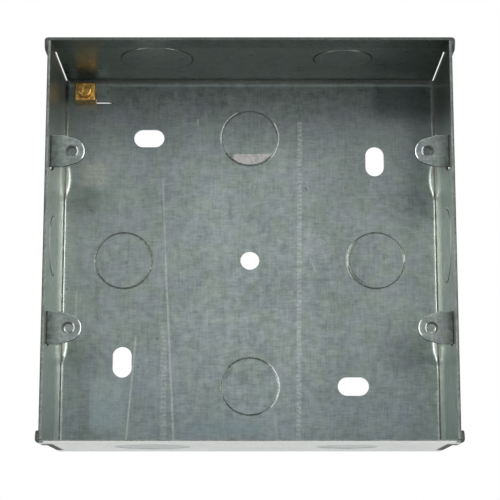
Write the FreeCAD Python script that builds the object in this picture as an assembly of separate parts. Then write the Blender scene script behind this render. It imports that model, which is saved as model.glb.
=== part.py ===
import FreeCAD, Part
import math
import os

from FreeCAD import Vector

# Flush back box for two rows of switch modules: one blank of galvanised sheet steel, pierced, semi-sheared
# and lanced, then folded into a back plate and four walls, with a brass earth terminal on a lanced strap.
# Millimetres. X to the right seen from the open front, Y from the rim towards the back plate, Z up.
# The origin is the middle of the underside.

# Overall size of the folded box
box_width = 137.0
box_height = 137.0
box_depth = 47.0
sheet = 1.0

# Folds between the back plate and the walls, inside radii
side_bend_radius = 1.0
end_bend_radius = 0.5

# Open corners, where the end walls stop short of the side walls
corner_gap = 0.28
edge_gap = 0.1

# Corner tabs, the ends of the top and bottom walls folded over the outside of the side walls
tab_reach = 13.0
tab_drop = 4.2
tab_gap = 0.1
tab_bend_radius = 0.2
tab_corner_radius = 2.8

# Fixing lugs, lanced from the side walls and folded inwards, their screw holes 120.6 by 60.3 apart
lug_hole_inset = 7.2
lug_pitch_z = 60.3
lug_setback = 5.3
lug_width = 11.0
lug_nose_radius = 4.5
lug_straight = 4.6
lug_shoulder_radius = 3.0
lug_bend_radius = 0.4
lug_kerf = 0.1

# Tapped screw holes in the lugs, drawn through into a collar
lug_hole_radius = 1.5
collar_wall = 0.55
collar_length = 1.1
hole_mouth_chamfer = 0.4

# Pressed darts that stiffen the side folds behind the lugs
dart_half_length = 7.8
dart_leg = 2.0

# Knockouts: discs semi-sheared towards the inside, with a shear line round each; insets from the walls
knockout_20 = 20.7
knockout_25 = 25.5
knockout_step = 0.2
shear_line_width = 0.35
shear_line_depth = 0.6
back_knockout_inset = 22.0
end_knockout_inset = 34.8
end_knockout_depth = 20.5
side_knockout_depth = 18.5

# Fixings in the back plate: one round hole and four slots set round it like a pinwheel; insets from
# the wall that a slot lies along and from the wall that it points at
centre_hole_diameter = 6.6
slot_length = 11.0
slot_width = 6.6
slot_side_inset = 22.0
slot_end_inset = 30.7

# Strap lanced from the back plate, which carries the earth terminal on its narrow tail
strap_reach = 6.7
strap_width = 5.8
strap_lift = 1.5
strap_slope_run = 2.0
strap_kerf = 0.06
tail_width = 3.0
tail_end_inset = 0.8

# Brass earth terminal block
block_length = 7.4
block_height = 6.7
block_thickness = 6.0
block_side_gap = 3.8
block_top_gap = 2.4
block_edge_chamfer = 0.35
wire_hole_radius = 1.7
wire_hole_rise = 3.1
block_fit = 0.1

# Brass clamp screw
screw_radius = 1.75
screw_thread_gap = 0.05
screw_head_radius = 2.65
screw_head_height = 1.9
screw_head_chamfer = 0.35
screw_head_gap = 0.5
screw_slot_width = 0.95
screw_slot_depth = 0.9
screw_slot_turn = 12.0
screw_point_chamfer = 0.4

# Places worked out from the sizes above
rim_y = -box_depth / 2
back_inside = box_depth - sheet
half_width = box_width / 2
half_height = box_height / 2
middle_z = box_height / 2
side_inside = half_width - sheet
end_inside = half_height - sheet
lug_hole_x = side_inside - lug_hole_inset
lug_hole_z = lug_pitch_z / 2
block_left_x = block_side_gap - side_inside
terminal_height = end_inside - block_top_gap - block_height / 2
strap_hinge_x = block_left_x + block_length + strap_reach
overshoot = 1.0


def place(x, depth, height):
    # A point from its distance behind the rim and its height above the middle of the box
    return Vector(x, rim_y + depth, middle_z + height)


def mirrored(shape, flip_x, flip_z):
    # The same feature in another corner of the box
    if flip_x:
        shape = shape.mirror(Vector(0, 0, 0), Vector(1, 0, 0))
    if flip_z:
        shape = shape.mirror(Vector(0, 0, middle_z), Vector(0, 0, 1))
    return shape


def outline_face(points):
    # A closed outline; an entry (through, end) of two points is an arc from the last point
    edges = []
    last = points[0]
    for entry in points[1:] + [points[0]]:
        if isinstance(entry, tuple):
            through, end = entry
            edges.append(Part.Arc(last, through, end).toShape())
            last = end
        elif (entry - last).Length > 1e-6:
            edges.append(Part.LineSegment(last, entry).toShape())
            last = entry
    return Part.Face(Part.Wire(edges))


def quarter_turn(centre, radius, start_deg):
    # The middle and the end of a quarter of a circle, counted anticlockwise
    middle = math.radians(start_deg + 45)
    end = math.radians(start_deg + 90)
    return ((centre[0] + radius * math.cos(middle), centre[1] + radius * math.sin(middle)),
            (centre[0] + radius * math.cos(end), centre[1] + radius * math.sin(end)))


def channel(half_span, bend_radius, to_point, run):
    # Back plate with a wall at each side, one profile drawn out along the walls
    outer = bend_radius + sheet
    bend_depth = box_depth - outer
    bend_span = half_span - outer
    right_outer = quarter_turn((bend_span, bend_depth), outer, 0)
    right_inner = quarter_turn((bend_span, bend_depth), bend_radius, 0)

    def at(pair):
        return to_point(pair[0], pair[1])

    def across(pair):
        return to_point(-pair[0], pair[1])

    points = [
        to_point(half_span, 0),
        to_point(half_span, bend_depth),
        (at(right_outer[0]), at(right_outer[1])),
        across(right_outer[1]),
        (across(right_outer[0]), to_point(-half_span, bend_depth)),
        to_point(-half_span, 0),
        to_point(sheet - half_span, 0),
        to_point(sheet - half_span, bend_depth),
        (across(right_inner[0]), across(right_inner[1])),
        at(right_inner[1]),
        (at(right_inner[0]), to_point(half_span - sheet, bend_depth)),
        to_point(half_span - sheet, 0),
    ]
    return outline_face(points).extrude(run)


def folded_walls():
    # Two channels that share the back plate: side walls one way, top and bottom walls the other
    side_half = end_inside - edge_gap
    end_half = side_inside - corner_gap
    sides = channel(half_width, side_bend_radius, lambda u, v: place(u, v, -side_half),
                    Vector(0, 0, 2 * side_half))
    ends = channel(half_height, end_bend_radius, lambda u, v: place(-end_half, v, u),
                   Vector(2 * end_half, 0, 0))
    return sides.fuse(ends)


def corner_tab():
    # End of the top wall, carried past the right side wall and folded down over it
    inner_x = half_width + tab_gap
    outer_x = inner_x + sheet
    centre = (inner_x - tab_bend_radius, end_inside - tab_bend_radius)
    outer_radius = tab_bend_radius + sheet
    start_x = side_inside - corner_gap
    outer_mid, outer_end = quarter_turn(centre, outer_radius, 0)
    inner_mid, inner_end = quarter_turn(centre, tab_bend_radius, 0)
    tab_foot = half_height - tab_drop
    points = [
        place(start_x, 0, end_inside),
        place(inner_end[0], 0, inner_end[1]),
        (place(inner_mid[0], 0, inner_mid[1]), place(inner_x, 0, centre[1])),
        place(inner_x, 0, tab_foot),
        place(outer_x, 0, tab_foot),
        place(outer_x, 0, centre[1]),
        (place(outer_mid[0], 0, outer_mid[1]), place(outer_end[0], 0, outer_end[1])),
        place(start_x, 0, half_height),
    ]
    tab = outline_face(points).extrude(Vector(0, tab_reach, 0))
    foot_z = middle_z + tab_foot
    ends = [edge for edge in tab.Edges
            if abs(edge.BoundBox.ZMax - foot_z) < 1e-6 and edge.BoundBox.YLength < 1e-6]
    return tab.makeFillet(tab_corner_radius, ends)


def lug_outline(half_lug, nose_x, root_x, nose_radius, shoulder, to_point):
    # Tongue outline: straight root, tapering shoulders and a round nose about the screw hole
    centre_x = nose_x + nose_radius
    span = shoulder - centre_x
    reach = math.hypot(span, half_lug)
    tangent = math.atan2(half_lug, span) + math.acos(nose_radius / reach)
    touch_x = centre_x + nose_radius * math.cos(tangent)
    touch_h = nose_radius * math.sin(tangent)
    points = [
        to_point(root_x, -half_lug),
        to_point(shoulder, -half_lug),
        to_point(touch_x, -touch_h),
        (to_point(nose_x, 0), to_point(touch_x, touch_h)),
        to_point(shoulder, half_lug),
        to_point(root_x, half_lug),
    ]
    return outline_face(points)


def rounded_shoulders(prism, corner, direction, radius):
    # Rounds the two edges of a tongue where its straight root meets the taper
    picked = []
    for edge in prism.Edges:
        along = edge.Curve.Direction.cross(direction).Length < 1e-6 if hasattr(edge.Curve, "Direction") else False
        if along and abs(edge.CenterOfMass.dot(corner[0]) - corner[1]) < 1e-4:
            picked.append(edge)
    return prism.makeFillet(radius, picked)


def lug():
    # Right upper lug: the fold in the wall, the tongue, and the hole drawn through it
    nose_x = lug_hole_x - lug_nose_radius
    fold_depth = lug_setback - lug_bend_radius
    fold_x = side_inside - lug_bend_radius
    outer_mid, outer_end = quarter_turn((fold_x, fold_depth), lug_bend_radius + sheet, 0)
    inner_mid, inner_end = quarter_turn((fold_x, fold_depth), lug_bend_radius, 0)
    low = lug_hole_z - lug_width / 2
    points = [
        place(half_width, fold_depth, low),
        (place(outer_mid[0], outer_mid[1], low), place(outer_end[0], outer_end[1], low)),
        place(nose_x - overshoot, lug_setback + sheet, low),
        place(nose_x - overshoot, lug_setback, low),
        place(inner_end[0], inner_end[1], low),
        (place(inner_mid[0], inner_mid[1], low), place(side_inside, fold_depth, low)),
    ]
    strip = outline_face(points).extrude(Vector(0, 0, lug_width))
    shoulder_x = side_inside - lug_straight
    trim = lug_outline(lug_width / 2, nose_x, half_width, lug_nose_radius, shoulder_x,
                       lambda x, h: place(x, 0, lug_hole_z + h)).extrude(Vector(0, box_depth / 2, 0))
    trim = rounded_shoulders(trim, (Vector(1, 0, 0), shoulder_x), Vector(0, 1, 0), lug_shoulder_radius)
    tongue = strip.common(trim)

    hole_mouth = place(lug_hole_x, lug_setback, lug_hole_z)
    inward = Vector(0, 1, 0)
    drawn = sheet + collar_length
    collar = Part.makeCylinder(lug_hole_radius + collar_wall, drawn, hole_mouth, inward)
    bore = Part.makeCylinder(lug_hole_radius, drawn + 2 * overshoot, hole_mouth - inward * overshoot, inward)
    tongue = tongue.fuse(collar).cut(bore)
    mouth = [edge for edge in tongue.Edges
             if hasattr(edge.Curve, "Radius") and abs(edge.Curve.Radius - lug_hole_radius) < 1e-6
             and abs(edge.BoundBox.YMax - hole_mouth.y) < 1e-6 and edge.BoundBox.YLength < 1e-6]
    return tongue.makeChamfer(hole_mouth_chamfer, mouth)


def lug_window():
    # Opening that the unfolded tongue leaves in the right wall, wider by the cutting kerf
    fold_depth = lug_setback - lug_bend_radius
    fold_length = math.pi / 2 * (lug_bend_radius + sheet / 2)
    nose_run = side_inside - lug_bend_radius - (lug_hole_x - lug_nose_radius)
    nose_depth = fold_depth + fold_length + nose_run + lug_kerf
    shoulder_depth = fold_depth + fold_length + lug_straight - lug_bend_radius
    half_window = lug_width / 2 + lug_kerf
    face = lug_outline(half_window, -nose_depth, -fold_depth, lug_nose_radius + lug_kerf, -shoulder_depth,
                       lambda d, h: place(side_inside - overshoot, -d, lug_hole_z + h))
    prism = face.extrude(Vector(sheet + 2 * overshoot, 0, 0))
    return rounded_shoulders(prism, (Vector(0, 1, 0), rim_y + shoulder_depth), Vector(1, 0, 0),
                             lug_shoulder_radius)


def dart():
    # Pressed dart in the right fold: a rib standing in the corner and the dent behind it
    rise = dart_leg / math.sqrt(2)
    radius = (dart_half_length ** 2 + rise ** 2) / (2 * rise)
    corner = place(side_inside, back_inside, lug_hole_z)
    outwards = Vector(1, 1, 0).normalize()
    along = Vector(1, -1, 0).normalize()
    length = 4 * dart_leg
    start = corner + outwards * (radius - rise) - along * (length / 2)
    rib = Part.makeCylinder(radius, length, start, along)
    dent = Part.makeCylinder(radius - sheet, length, start, along)
    reach = dart_leg + sheet
    corner_block = Part.makeBox(reach, reach, 2 * dart_half_length,
                                corner + Vector(-dart_leg, -dart_leg, -dart_half_length))
    return rib.common(corner_block), dent


def knockout(centre, outwards, diameter):
    # Semi-sheared disc: hollow outside, raised inside, with the shear line round it
    radius = diameter / 2
    inside = centre - outwards * sheet
    hollow = Part.makeCylinder(radius, knockout_step + overshoot, centre - outwards * knockout_step, outwards)
    disc = Part.makeCylinder(radius - shear_line_width, knockout_step, inside, outwards * -1)
    line_floor = inside + outwards * (shear_line_depth - knockout_step)
    line_height = shear_line_depth - knockout_step + overshoot
    ring = Part.makeCylinder(radius, line_height, line_floor, outwards * -1)
    core = Part.makeCylinder(radius - shear_line_width, line_height, line_floor, outwards * -1)
    return hollow.fuse(ring.cut(core)), disc


def knockouts():
    # Four in the back plate, two in each end wall and one in each side wall
    back = Vector(0, 1, 0)
    up = Vector(0, 0, 1)
    right = Vector(1, 0, 0)
    across = side_inside - back_knockout_inset
    above = end_inside - back_knockout_inset
    end_offset = side_inside - end_knockout_inset
    places = [(place(x * across, box_depth, z * above), back, knockout_20)
              for x, z in ((0, 1), (0, -1), (1, 0), (-1, 0))]
    for side in (1, -1):
        places.append((place(-end_offset, end_knockout_depth, side * half_height), up * side, knockout_25))
        places.append((place(end_offset, end_knockout_depth, side * half_height), up * side, knockout_20))
    places.append((place(half_width, side_knockout_depth, 0), right, knockout_25))
    places.append((place(-half_width, side_knockout_depth, 0), right * -1, knockout_20))
    return [knockout(*entry) for entry in places]


def slot(x, z, upright):
    # One fixing slot of the pinwheel, level or upright
    half = slot_length / 2 - slot_width / 2
    radius = slot_width / 2
    depth = back_inside - overshoot
    points = [
        place(x - half, depth, z - radius),
        place(x + half, depth, z - radius),
        (place(x + half + radius, depth, z), place(x + half, depth, z + radius)),
        place(x - half, depth, z + radius),
        (place(x - half - radius, depth, z), place(x - half, depth, z - radius)),
    ]
    prism = outline_face(points).extrude(Vector(0, sheet + 2 * overshoot, 0))
    return prism.rotate(place(x, depth, z), Vector(0, 1, 0), 90 if upright else 0)


def slotted_back():
    # Everything pierced straight through the back plate
    hole = Part.makeCylinder(centre_hole_diameter / 2, sheet + 2 * overshoot,
                             place(0, back_inside - overshoot, 0), Vector(0, 1, 0))
    level_x = side_inside - slot_end_inset
    level_z = end_inside - slot_side_inset
    upright_x = side_inside - slot_side_inset
    upright_z = end_inside - slot_end_inset
    level = [slot(-level_x, level_z, False), slot(level_x, -level_z, False)]
    upright = [slot(upright_x, upright_z, True), slot(-upright_x, -upright_z, True)]
    return [hole] + level + upright


def strap_plan(clearance, tip_x):
    # Outline of the strap seen from the front: wide strap, shoulders against the block, narrow tail
    height = terminal_height
    shoulder_x = block_left_x + block_length + block_fit
    wide = strap_width / 2 + clearance
    narrow = tail_width / 2 + clearance
    points = [
        place(strap_hinge_x, 0, height - wide),
        place(strap_hinge_x, 0, height + wide),
        place(shoulder_x - clearance, 0, height + wide),
        place(shoulder_x - clearance, 0, height + narrow),
        place(tip_x - clearance, 0, height + narrow),
        place(tip_x - clearance, 0, height - narrow),
        place(shoulder_x - clearance, 0, height - narrow),
        place(shoulder_x - clearance, 0, height - wide),
    ]
    return outline_face(points).extrude(Vector(0, box_depth + overshoot, 0))


def strap():
    # Strap joggled forwards out of the back plate, and the window that it leaves
    slope = math.atan2(strap_lift, strap_slope_run)
    stretch = strap_slope_run / math.cos(slope) - strap_slope_run
    mitre = sheet * math.tan(slope / 2)
    tip_x = block_left_x + tail_end_inset
    raised = back_inside - strap_lift
    low = terminal_height - strap_width
    points = [
        place(strap_hinge_x, back_inside, low),
        place(strap_hinge_x - strap_slope_run, raised, low),
        place(tip_x - overshoot, raised, low),
        place(tip_x - overshoot, raised + sheet, low),
        place(strap_hinge_x - strap_slope_run - mitre, raised + sheet, low),
        place(strap_hinge_x - mitre, box_depth, low),
        place(strap_hinge_x, box_depth, low),
    ]
    side_view = outline_face(points).extrude(Vector(0, 0, 2 * strap_width))
    raised_strap = side_view.common(strap_plan(0, tip_x))
    window = strap_plan(strap_kerf, tip_x - stretch)
    window = window.common(Part.makeBox(box_width, sheet + overshoot, box_height,
                                        place(-half_width, back_inside - overshoot / 2, -half_height)))
    return raised_strap, window


def body():
    # The folded sheet: walls, tabs and lugs joined, then pierced, sheared and pressed
    shape = folded_walls()
    shape = shape.fuse([mirrored(corner_tab(), x, z) for x in (False, True) for z in (False, True)])

    rib, dent = dart()
    window = lug_window()
    tongue = lug()
    corners = [(x, z) for x in (False, True) for z in (False, True)]
    shape = shape.fuse([mirrored(rib, x, z) for x, z in corners])
    shape = shape.cut([mirrored(dent, x, z) for x, z in corners])
    shape = shape.cut([mirrored(window, x, z) for x, z in corners])
    shape = shape.fuse([mirrored(tongue, x, z) for x, z in corners])

    cuts = []
    discs = []
    for cut, disc in knockouts():
        cuts.append(cut)
        discs.append(disc)
    shape = shape.cut(cuts).fuse(discs)
    shape = shape.cut(slotted_back())

    raised_strap, strap_window = strap()
    shape = shape.cut(strap_window).fuse(raised_strap)
    return shape.removeSplitter()


def earth_terminal_block():
    # Brass block on the strap's tail: wire hole with a flat slot below it, tapped from the front
    front_depth = back_inside - block_thickness
    block = Part.makeBox(block_length, block_thickness, block_height,
                         place(block_left_x, front_depth, terminal_height - block_height / 2))
    front_y = rim_y + front_depth
    rounded = [edge for edge in block.Edges if edge.BoundBox.YMin < front_y + 1e-6
               and edge.BoundBox.YLength < 1e-6]
    block = block.makeChamfer(block_edge_chamfer, rounded)
    run = Vector(1, 0, 0)
    middle = terminal_height
    wire_hole = Part.makeCylinder(wire_hole_radius, block_length + 2 * overshoot,
                                  place(block_left_x - overshoot, back_inside - wire_hole_rise, middle), run)
    tail_slot = Part.makeBox(block_length + 2 * overshoot, sheet + 2 * block_fit, tail_width + 2 * block_fit,
                             place(block_left_x - overshoot, back_inside - strap_lift - block_fit,
                                   middle - tail_width / 2 - block_fit))
    tapped = Part.makeCylinder(screw_radius + screw_thread_gap, block_thickness - strap_lift + overshoot,
                               place(block_left_x + block_length / 2, front_depth - overshoot, middle),
                               Vector(0, 1, 0))
    return block.cut([wire_hole, tail_slot, tapped])


def earth_terminal_screw():
    # Slotted cheese head screw, run down until its point bears on the strap's tail
    middle = terminal_height
    x = block_left_x + block_length / 2
    inward = Vector(0, 1, 0)
    under_head = back_inside - block_thickness - screw_head_gap
    point_depth = back_inside - strap_lift
    head_top = under_head - screw_head_height
    head = Part.makeCylinder(screw_head_radius, screw_head_height, place(x, head_top, middle), inward)
    rim = [edge for edge in head.Edges if edge.BoundBox.YMax < rim_y + head_top + 1e-6]
    head = head.makeChamfer(screw_head_chamfer, rim)
    shank = Part.makeCylinder(screw_radius, point_depth - under_head, place(x, under_head, middle), inward)
    point = [edge for edge in shank.Edges if edge.BoundBox.YMin > rim_y + point_depth - 1e-6]
    shank = shank.makeChamfer(screw_point_chamfer, point)
    length = 2 * (screw_head_radius + overshoot)
    groove = Part.makeBox(screw_slot_width, screw_slot_depth + overshoot, length,
                          place(x - screw_slot_width / 2, head_top - overshoot, middle - length / 2))
    groove = groove.rotate(place(x, head_top, middle), inward, screw_slot_turn)
    return head.fuse(shank).cut(groove).removeSplitter()


nodes = {
    "body": body(),
    "earth_terminal_block": earth_terminal_block(),
    "earth_terminal_screw": earth_terminal_screw(),
}

os.makedirs("parts", exist_ok=True)
for name, shape in nodes.items():
    shape.exportStep("parts/" + name + ".step")
    print(name, "solids", len(shape.Solids), "valid", shape.isValid(), "volume", round(shape.Volume, 2))
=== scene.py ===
import math

import bmesh
import bpy
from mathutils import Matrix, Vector


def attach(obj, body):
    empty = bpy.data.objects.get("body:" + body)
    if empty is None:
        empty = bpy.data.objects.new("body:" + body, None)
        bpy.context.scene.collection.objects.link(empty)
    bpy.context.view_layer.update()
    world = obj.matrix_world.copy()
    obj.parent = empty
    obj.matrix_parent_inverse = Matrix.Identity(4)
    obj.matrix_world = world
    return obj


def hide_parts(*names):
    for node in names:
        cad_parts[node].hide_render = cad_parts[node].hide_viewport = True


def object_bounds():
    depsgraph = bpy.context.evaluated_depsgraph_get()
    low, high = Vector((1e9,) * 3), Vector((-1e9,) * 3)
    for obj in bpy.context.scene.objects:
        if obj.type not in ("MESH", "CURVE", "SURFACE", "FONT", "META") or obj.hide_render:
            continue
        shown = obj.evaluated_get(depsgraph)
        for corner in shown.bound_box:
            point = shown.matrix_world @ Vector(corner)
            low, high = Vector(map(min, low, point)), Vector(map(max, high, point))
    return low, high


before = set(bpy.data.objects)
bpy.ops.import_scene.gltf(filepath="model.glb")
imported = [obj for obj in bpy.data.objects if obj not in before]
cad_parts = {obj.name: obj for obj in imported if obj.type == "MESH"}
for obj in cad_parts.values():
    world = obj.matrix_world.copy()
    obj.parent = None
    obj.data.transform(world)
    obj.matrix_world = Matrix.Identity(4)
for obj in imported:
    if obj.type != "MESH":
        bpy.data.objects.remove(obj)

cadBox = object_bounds()
scene = bpy.context.scene
mm = 0.001
boxMiddle = (cadBox[0][2] + cadBox[1][2]) / 2   # half way up the box
rimY = cadBox[0][1]                             # front of the box
backY = cadBox[1][1]                            # outside of the back plate
halfBox = 68.5 * mm


# small helpers

def report(text):
    print("[back box]", text)


def activate(piece):
    bpy.ops.object.select_all(action="DESELECT")
    piece.select_set(True)
    bpy.context.view_layer.objects.active = piece


def applyModifiers(piece):
    activate(piece)
    for modifier in list(piece.modifiers):
        bpy.ops.object.modifier_apply(modifier=modifier.name)


cleanUp = {"mergeWithin": 0.002 * mm, "flatWithin": 0.6}


def copyOfNode(nodeName, pieceName):
    # a node's own mesh as a new piece, with its loose triangles merged into whole faces
    piece = bpy.data.objects.new(pieceName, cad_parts[nodeName].data.copy())
    scene.collection.objects.link(piece)
    piece.data.name = pieceName
    piece.data.materials.clear()
    activate(piece)
    bpy.ops.object.mode_set(mode="EDIT")
    bpy.ops.mesh.select_all(action="SELECT")
    bpy.ops.mesh.remove_doubles(threshold=cleanUp["mergeWithin"])
    bpy.ops.mesh.dissolve_limited(angle_limit=math.radians(cleanUp["flatWithin"]))
    bpy.ops.object.mode_set(mode="OBJECT")
    return piece


def bevelEdges(piece, settings, wanted):
    # bevels the sharp edges that wanted() accepts by their middle
    mesh = bmesh.new()
    mesh.from_mesh(piece.data)
    layers = mesh.edges.layers.float
    weight = layers.get("bevel_weight_edge") or layers.new("bevel_weight_edge")
    for edge in mesh.edges:
        edge[weight] = 0.0
        sharp = len(edge.link_faces) == 2 and edge.calc_face_angle() > math.radians(settings["sharp"])
        middle = (edge.verts[0].co + edge.verts[1].co) / 2
        if sharp and edge.calc_length() > settings["shortest"] and wanted(middle):
            edge[weight] = 1.0
    mesh.to_mesh(piece.data)
    mesh.free()
    bevel = piece.modifiers.new("brokenEdges", "BEVEL")
    bevel.width = settings["width"]
    bevel.segments = settings["segments"]
    bevel.limit_method = "WEIGHT"
    bevel.use_clamp_overlap = False
    applyModifiers(piece)
    low, high = cadBox      # a wide bevel may not stand out of the box
    for vertex in piece.data.vertices:
        for axis in range(3):
            vertex.co[axis] = min(max(vertex.co[axis], low[axis]), high[axis])


def smoothFaces(piece, angle):
    activate(piece)
    bpy.ops.object.shade_smooth_by_angle(angle=math.radians(angle))
    weighted = piece.modifiers.new("flatFaces", "WEIGHTED_NORMAL")
    weighted.keep_sharp = True
    applyModifiers(piece)


# node helpers: a value that is a socket is linked, anything else is typed in

def makeNode(tree, kind, inputs=None, **settings):
    made = tree.nodes.new(kind)
    for key, value in settings.items():
        setattr(made, key, value)
    for key, value in (inputs or {}).items():
        if isinstance(value, bpy.types.NodeSocket):
            tree.links.new(value, made.inputs[key])
        else:
            made.inputs[key].default_value = value
    return made


def calc(tree, operation, first, second=None, third=None, clamp=False):
    values = {i: v for i, v in enumerate((first, second, third)) if v is not None}
    return makeNode(tree, "ShaderNodeMath", values, operation=operation, use_clamp=clamp).outputs[0]


def vectorCalc(tree, operation, first, second=None, output="Vector"):
    values = {i: v for i, v in enumerate((first, second)) if v is not None}
    return makeNode(tree, "ShaderNodeVectorMath", values, operation=operation).outputs[output]


def fade(tree, value, low, high, lowOut=0.0, highOut=1.0, smooth=True):
    # lowOut where the value is low or less, highOut where it is high or more, and a slope between
    inputs = {"Value": value, "From Min": low, "From Max": high, "To Min": lowOut, "To Max": highOut}
    slope = "SMOOTHSTEP" if smooth else "LINEAR"
    return makeNode(tree, "ShaderNodeMapRange", inputs, interpolation_type=slope).outputs["Result"]


def multiply(tree, *masks):
    total = masks[0]
    for mask in masks[1:]:
        total = calc(tree, "MULTIPLY", total, mask)
    return total


def overlay(tree, masks):
    # the strongest of several masks
    total = masks[0]
    for mask in masks[1:]:
        total = calc(tree, "MAXIMUM", total, mask)
    return total


def offFrom(tree, value, middle):
    return calc(tree, "ABSOLUTE", calc(tree, "SUBTRACT", value, middle))


def mixColour(tree, factor, first, second, blend="MIX"):
    made = makeNode(tree, "ShaderNodeMix", {"Factor": factor}, data_type="RGBA", blend_type=blend)
    for socket, value in ((made.inputs[6], first), (made.inputs[7], second)):
        if isinstance(value, bpy.types.NodeSocket):
            tree.links.new(value, socket)
        else:
            socket.default_value = value
    return made.outputs[2]


def tinted(tree, mask, colour, tint):
    # the colour, multiplied by the tint where the mask is 1
    return mixColour(tree, mask, colour, mixColour(tree, 1.0, colour, tint, "MULTIPLY"))


def noise(tree, vector, scale, detail=3.0, roughness=0.5, distortion=0.0):
    inputs = {"Vector": vector, "Scale": scale, "Detail": detail, "Roughness": roughness}
    inputs["Distortion"] = distortion
    return makeNode(tree, "ShaderNodeTexNoise", inputs).outputs["Fac"]


def inMillimetres(tree, place):
    inputs = {0: place, "Scale": 1 / mm}
    return makeNode(tree, "ShaderNodeVectorMath", inputs, operation="SCALE").outputs[0]


def flatPoint(tree, across, up):
    return makeNode(tree, "ShaderNodeCombineXYZ", {0: across, 1: up}).outputs[0]


def newMaterial(name):
    material = bpy.data.materials.new(name)
    material.use_nodes = True
    tree = material.node_tree
    return material, tree, tree.nodes["Principled BSDF"]


def newGroup(name, inputs):
    # a node group with named inputs and one output, the mask that it works out
    group = bpy.data.node_groups.new(name, "ShaderNodeTree")
    for label, kind in inputs:
        group.interface.new_socket(label, in_out="INPUT", socket_type=kind)
    group.interface.new_socket("Mask", in_out="OUTPUT", socket_type="NodeSocketFloat")
    given = group.nodes.new("NodeGroupInput").outputs
    result = group.nodes.new("NodeGroupOutput").inputs["Mask"]
    return group, given, result


# camera, at the photograph's angle: from in front, a little below the rim, looking up

cameraSettings = {
    "place": (0.05 * mm, -520.9 * mm, -33.2 * mm),
    "pitch": 100.25,
    "lens": 110.35,
    "sensor": 36.0,
    "shiftY": 0.04,
    "nearest": 10 * mm,
}
cameraData = bpy.data.cameras.new("camera")
cameraData.lens = cameraSettings["lens"]
cameraData.sensor_width = cameraSettings["sensor"]
cameraData.shift_y = cameraSettings["shiftY"]
cameraData.clip_start = cameraSettings["nearest"]
camera = bpy.data.objects.new("camera", cameraData)
camera.location = cameraSettings["place"]
camera.rotation_euler = (math.radians(cameraSettings["pitch"]), 0, 0)
scene.collection.objects.link(camera)
scene.camera = camera
scene.view_settings.view_transform = "Standard"
report("camera set")


# light: white surroundings, a soft lamp above and a tall soft lamp at each side, which draws the bright
# lines along folds and rounded edges

lightSettings = {
    "fill": 0.5,    # the surroundings' strength as light; they are seen and mirrored at 1
    "lamps": {      # place, what it is aimed at, size and power
        "topLamp": ((0.05, -0.45, 0.85), (0.0, 0.0, 0.06), (0.6, 0.5), 2.5),
        "leftLamp": ((-0.62, -0.52, 0.10), (0.0, 0.0, 0.07), (0.35, 0.8), 6.0),
        "rightLamp": ((0.62, -0.52, 0.10), (0.0, 0.0, 0.07), (0.35, 0.8), 6.5),
    },
}
world = bpy.data.worlds.new("whiteSurroundings")
world.use_nodes = True
scene.world = world
tree = world.node_tree
background = tree.nodes["Background"]
path = makeNode(tree, "ShaderNodeLightPath")
seen = calc(tree, "MAXIMUM", path.outputs["Is Camera Ray"], path.outputs["Is Glossy Ray"])
seen = calc(tree, "MAXIMUM", seen, path.outputs["Is Transmission Ray"])
background.inputs["Color"].default_value = (1, 1, 1, 1)
strength = fade(tree, seen, 0, 1, lightSettings["fill"], 1.0, smooth=False)
tree.links.new(strength, background.inputs["Strength"])

for lampName, (lampPlace, lampAim, lampSize, power) in lightSettings["lamps"].items():
    lampData = bpy.data.lights.new(lampName, "AREA")
    lampData.shape = "RECTANGLE"
    lampData.size, lampData.size_y = lampSize
    lampData.energy = power
    lampObject = bpy.data.objects.new(lampName, lampData)
    lampObject.location = lampPlace
    aim = Vector(lampAim) - Vector(lampPlace)
    lampObject.rotation_euler = aim.to_track_quat("-Z", "Y").to_euler()
    scene.collection.objects.link(lampObject)
report("lights set")


# floor: pale, with the box's shadow; seen from above only, because the camera stands below its level

floorSettings = {
    "size": 8.0,
    "squares": 8,
    "drop": 0.3 * mm,
    "colour": (0.80, 0.80, 0.79, 1),
    "roughness": 0.9,
    "gloss": 0.1,
    "whiteFrom": (0.35, 1.6),   # how far from the box it starts to turn white, and is white
}
squares = floorSettings["squares"]
bpy.ops.object.select_all(action="DESELECT")
bpy.ops.mesh.primitive_grid_add(x_subdivisions=squares, y_subdivisions=squares, size=floorSettings["size"],
                                location=(0, 0, -floorSettings["drop"]))
floor = bpy.context.object
floor.name = "floor"
bpy.ops.object.transform_apply(location=True, rotation=True, scale=True)
paleFloor, tree, shader = newMaterial("paleFloor")
shader.inputs["Base Color"].default_value = floorSettings["colour"]
shader.inputs["Roughness"].default_value = floorSettings["roughness"]
shader.inputs["Specular IOR Level"].default_value = floorSettings["gloss"]
output = tree.nodes["Material Output"]
path = makeNode(tree, "ShaderNodeLightPath")
facing = makeNode(tree, "ShaderNodeNewGeometry")
place = makeNode(tree, "ShaderNodeTexCoord")
distance = vectorCalc(tree, "LENGTH", place.outputs["Object"], output="Value")
farOut = fade(tree, distance, *floorSettings["whiteFrom"])
white = makeNode(tree, "ShaderNodeEmission", {"Strength": 1.0})
clear = makeNode(tree, "ShaderNodeBsdfTransparent")
near = makeNode(tree, "ShaderNodeMixShader", {0: farOut, 1: shader.outputs[0], 2: white.outputs[0]})
fromAbove = calc(tree, "SUBTRACT", 1.0, facing.outputs["Backfacing"])
shown = calc(tree, "MULTIPLY", path.outputs["Is Camera Ray"], fromAbove)
final = makeNode(tree, "ShaderNodeMixShader", {0: shown, 1: clear.outputs[0], 2: near.outputs[0]})
tree.links.new(final.outputs[0], output.inputs["Surface"])
floor.data.materials.append(paleFloor)
report("floor laid")


# masks for marks on a flat face, in millimetres: a line from one point to another, a soft patch, and an arc

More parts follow.
